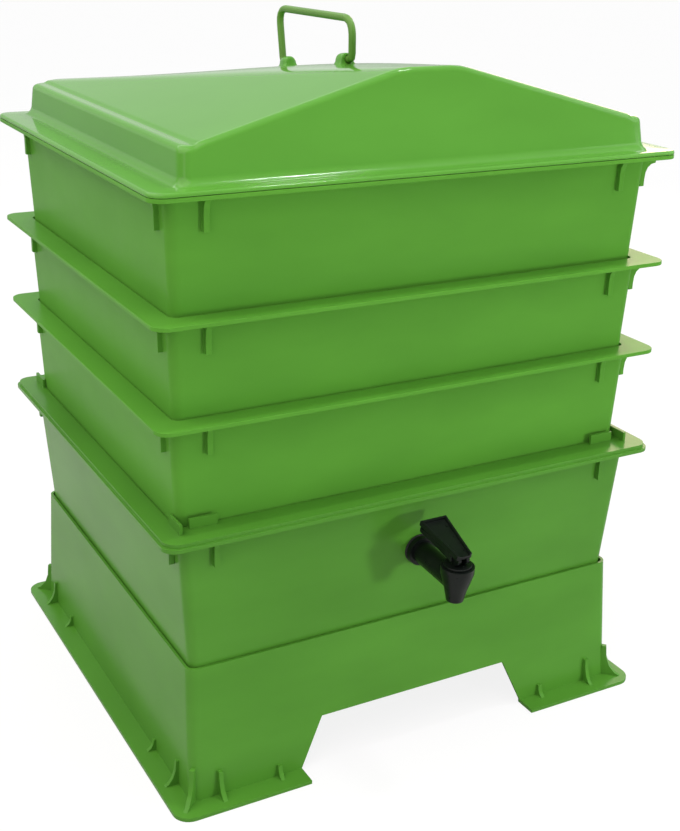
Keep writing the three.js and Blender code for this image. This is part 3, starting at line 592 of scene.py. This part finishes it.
def make_lid():
    skin = mesh_of_rings("lid_look", lid_skin())
    work = bmesh.new()
    work.from_mesh(skin)
    hinge = (Matrix.Translation((0.0, HINGE_BACK, HINGE_HEIGHT))
             @ Matrix.Rotation(-HINGE_TILT, 4, "X"))
    for side in (-1, 1):
        lug = mesh_of_rings("lug", lug_rings())
        mirrored = Matrix.Scale(side, 4, (0.0, 1.0, 0.0))
        lug.transform(hinge @ mirrored @ Matrix.Translation((0.0, LUG_SPACING / 2, 0.0)))
        work.from_mesh(lug)
    bmesh.ops.remove_doubles(work, verts=work.verts, dist=WELD)
    bmesh.ops.recalc_face_normals(work, faces=work.faces)
    write_smooth(work, skin, "lid_plastic")
    skin.set_sharp_from_angle(angle=SHARP_ANGLE)
    skin.transform(Matrix.Translation((0.0, middle.y, lid_low.z + LIP_DEPTH + LID_FLANGE)))
    piece = add_object("lid_look", skin)
    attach(piece, frame["nodes"]["lid"]["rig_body"])
    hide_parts("lid")


def rib_rings(side):
    """Four corners at each step from the lever's pin to its free end."""
    rings = []
    for i in range(RIB_STEPS + 1):
        share = i / RIB_STEPS
        y = RIB_FROM + (RIB_TO - RIB_FROM) * share
        along = (y + PADDLE_NOSE) / PADDLE_LENGTH
        outer = PADDLE_HALF_ROOT + (PADDLE_HALF_END - PADDLE_HALF_ROOT) * along + RIB_OUTSET
        inner = outer - RIB_THICKNESS
        top = PADDLE_UNDERSIDE + RIB_OVERLAP + y * math.tan(PADDLE_SLOPE)
        depth = RIB_OVERLAP + RIB_DEPTH_ROOT
        depth += (RIB_DEPTH_END - RIB_DEPTH_ROOT) * math.sin(share * math.pi / 2)
        corners = ((outer, top), (outer, top - depth), (inner, top - depth), (inner, top))
        rings.append([Vector((side * x, y, z)) for x, z in corners])
    return rings


def make_lever_ribs():
    work = bmesh.new()
    for side in (-1, 1):
        work.from_mesh(mesh_of_rings("rib", rib_rings(side)))
    bmesh.ops.holes_fill(work, edges=work.edges)
    bmesh.ops.recalc_face_normals(work, faces=work.faces)
    mesh = bpy.data.meshes.new("tap_lever_ribs")
    write_smooth(work, mesh, "black_plastic")
    mesh.transform(Matrix.Translation(LEVER_PIN))
    piece = add_object("tap_lever_ribs", mesh)
    round_edges(piece, TAP_ROUNDING, miter="MITER_SHARP")
    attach(piece, frame["nodes"]["tap_lever"]["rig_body"])


make_lid()
make_lever_ribs()


# Stage, light and camera

FLOOR_REACH = 40.0
FLOOR_MOTTLE = Noise(3.0, 4.0)
FLOOR_STOPS = (0.3, 0.7)
FLOOR_TONES = (0.53, 0.56)              # as it lights the object and shows in its gloss
FLOOR_TONES_SEEN = (0.94, 0.96)         # as the camera sees it
FLOOR_ROUGHNESS = 0.7
FLOOR_SPECULAR = 0.1
FLOOR_GLOW = 0.86                       # share of plain white as seen; the rest keeps the shadow

# Brightness of the studio by the height of the direction, behind the object and on the camera's
# side. The axis points to the middle of the side behind, and the turn is where the sides blend.
STUDIO_AXIS = (0.6, 0.8, 0.0)
STUDIO_TURN = (-0.3, 0.4)
STUDIO_STRENGTH = 2.4
STUDIO_BEHIND = (
    (0.0, 0.8), (0.2, 0.8), (0.28, 0.65), (0.46, 0.65),
    (0.53, 2.4), (0.58, 2.4), (0.66, 0.9), (1.0, 1.05),
)
STUDIO_CAMERA_SIDE = ((0.0, 0.38), (0.5, 0.42), (0.75, 0.75), (1.0, 1.05))

WHITE = (1.0, 1.0, 1.0)
Lamp = namedtuple("Lamp", "name place target size power colour mirrored", defaults=(WHITE, True))
LAMPS = (
    Lamp("key", (1.77, -1.22, 1.18), centre, (0.9, 0.9), 5.0),
    # throws the tap's shadow to the left
    Lamp("low_key", (1.02, -2.0, 0.26), centre, (0.26, 0.22), 16.0, mirrored=False),
    Lamp("left_top", (-1.3, -0.3, 2.0), centre, (3.2, 3.2), 55.0, (1.0, 0.88, 0.86)),
    # shines in the flanges' tips at the right
    Lamp("right_back", (1.89, 1.56, 1.07), (0.25, -0.2, 0.43), (0.7, 0.6), 7.5,
         (1.0, 0.74, 0.54)),
    # draws the two thin streaks on the front of the lid's flange
    Lamp("streak", (0.62, -0.31, 2.06), (0.62, -0.31, 0.0), (0.2, 0.05), 8.0),
)


def colour_mix(tree, factor, first, second):
    """Blend of two colours; the factor is a socket."""
    node = tree.nodes.new("ShaderNodeMix")
    node.data_type = "RGBA"
    colour_a, colour_b = [socket for socket in node.inputs if socket.type == "RGBA"]
    tree.links.new(factor, node.inputs["Factor"])
    tree.links.new(first, colour_a)
    tree.links.new(second, colour_b)
    return next(socket for socket in node.outputs if socket.type == "RGBA")


def shader_mix(tree, factor, first, second):
    node = tree.nodes.new("ShaderNodeMixShader")
    tree.links.new(factor, node.inputs["Fac"])
    tree.links.new(first, node.inputs[1])
    tree.links.new(second, node.inputs[2])
    return node.outputs["Shader"]


def make_floor_paint():
    """A pale mottled floor that the camera sees nearly white, with the object's shadow on it."""
    material, tree, shader, output = new_material("floor_paint")
    path = tree.nodes.new("ShaderNodeLightPath")
    mottle = noise_value(tree, FLOOR_MOTTLE)
    paint, paint_seen = [
        ramp(tree, mottle, [(stop, (tone,) * 3) for stop, tone in zip(FLOOR_STOPS, tones)])
        for tones in (FLOOR_TONES, FLOOR_TONES_SEEN)
    ]
    colour = colour_mix(tree, path.outputs["Is Camera Ray"], paint, paint_seen)
    tree.links.new(colour, shader.inputs["Base Color"])
    shader.inputs["Roughness"].default_value = FLOOR_ROUGHNESS
    shader.inputs["Specular IOR Level"].default_value = FLOOR_SPECULAR
    glow = tree.nodes.new("ShaderNodeEmission")
    amount = tree.nodes.new("ShaderNodeMath")
    amount.operation = "MULTIPLY"
    amount.inputs[1].default_value = FLOOR_GLOW
    tree.links.new(path.outputs["Is Camera Ray"], amount.inputs[0])
    surface = shader_mix(tree, amount.outputs["Value"],
                         shader.outputs["BSDF"], glow.outputs["Emission"])
    tree.links.new(surface, output.inputs["Surface"])
    return material


def make_floor():
    mesh = bpy.data.meshes.new("floor")
    corners = [(x * FLOOR_REACH, y * FLOOR_REACH, 0.0)
               for x, y in ((-1, -1), (1, -1), (1, 1), (-1, 1))]
    mesh.from_pydata(corners, [], [(0, 1, 2, 3)])
    mesh.materials.append(make_floor_paint())
    add_object("floor", mesh)


def make_world():
    """A soft studio: white where the camera sees it, and bright and dim walls as light."""
    world = bpy.data.worlds.new("studio")
    world.use_nodes = True
    tree = world.node_tree
    tree.nodes.clear()
    output = tree.nodes.new("ShaderNodeOutputWorld")
    coordinates = tree.nodes.new("ShaderNodeTexCoord")
    facing = tree.nodes.new("ShaderNodeVectorMath")
    facing.operation = "DOT_PRODUCT"
    facing.inputs[1].default_value = STUDIO_AXIS
    tree.links.new(coordinates.outputs["Generated"], facing.inputs[0])
    parts = tree.nodes.new("ShaderNodeSeparateXYZ")
    tree.links.new(coordinates.outputs["Generated"], parts.inputs["Vector"])
    behind, camera_side = [
        ramp(tree, parts.outputs["Z"],
             [(height, (level / STUDIO_STRENGTH,) * 3) for height, level in levels])
        for levels in (STUDIO_BEHIND, STUDIO_CAMERA_SIDE)
    ]
    side = tree.nodes.new("ShaderNodeMapRange")
    side.interpolation_type = "SMOOTHSTEP"
    side.inputs["From Min"].default_value, side.inputs["From Max"].default_value = STUDIO_TURN
    tree.links.new(facing.outputs["Value"], side.inputs["Value"])
    lit = tree.nodes.new("ShaderNodeBackground")
    lit.inputs["Strength"].default_value = STUDIO_STRENGTH
    tree.links.new(colour_mix(tree, side.outputs["Result"], camera_side, behind),
                   lit.inputs["Color"])
    seen = tree.nodes.new("ShaderNodeBackground")
    seen.inputs["Color"].default_value = (*WHITE, 1.0)
    path = tree.nodes.new("ShaderNodeLightPath")
    surface = shader_mix(tree, path.outputs["Is Camera Ray"],
                         lit.outputs["Background"], seen.outputs["Background"])
    tree.links.new(surface, output.inputs["Surface"])
    bpy.context.scene.world = world


def make_lamp(lamp):
    light = bpy.data.lights.new(lamp.name, "AREA")
    light.shape = "RECTANGLE"
    light.size, light.size_y = lamp.size
    light.energy = lamp.power
    light.color = lamp.colour
    thing = add_object(lamp.name, light)
    thing.location = lamp.place
    aim = Vector(lamp.target) - Vector(lamp.place)
    thing.rotation_euler = aim.to_track_quat("-Z", "Y").to_euler()
    thing.visible_glossy = lamp.mirrored


def make_camera():
    data = bpy.data.cameras.new("camera")
    data.sensor_fit = "VERTICAL"
    data.sensor_height = SENSOR_HEIGHT
    data.lens = CAMERA_FOCAL_PX * SENSOR_HEIGHT / PHOTO_HEIGHT_PX
    data.clip_start = CAMERA_CLIP
    forward = Vector((
        math.sin(CAMERA_YAW) * math.cos(CAMERA_PITCH),
        math.cos(CAMERA_YAW) * math.cos(CAMERA_PITCH),
        -math.sin(CAMERA_PITCH),
    ))
    right = Vector((math.cos(CAMERA_YAW), -math.sin(CAMERA_YAW), 0.0))
    up = right.cross(forward)
    across = math.cos(CAMERA_ROLL) * right + math.sin(CAMERA_ROLL) * up
    above = math.cos(CAMERA_ROLL) * up - math.sin(CAMERA_ROLL) * right
    turn = Matrix((across, above, -forward)).transposed().to_4x4()
    camera = add_object("camera", data)
    camera.matrix_world = Matrix.Translation(CAMERA_PLACE + Vector((0.0, middle.y, 0.0))) @ turn
    bpy.context.scene.camera = camera


make_floor()
make_world()
for lamp in LAMPS:
    make_lamp(lamp)
make_camera()
bpy.context.scene.view_settings.view_transform = "Standard"
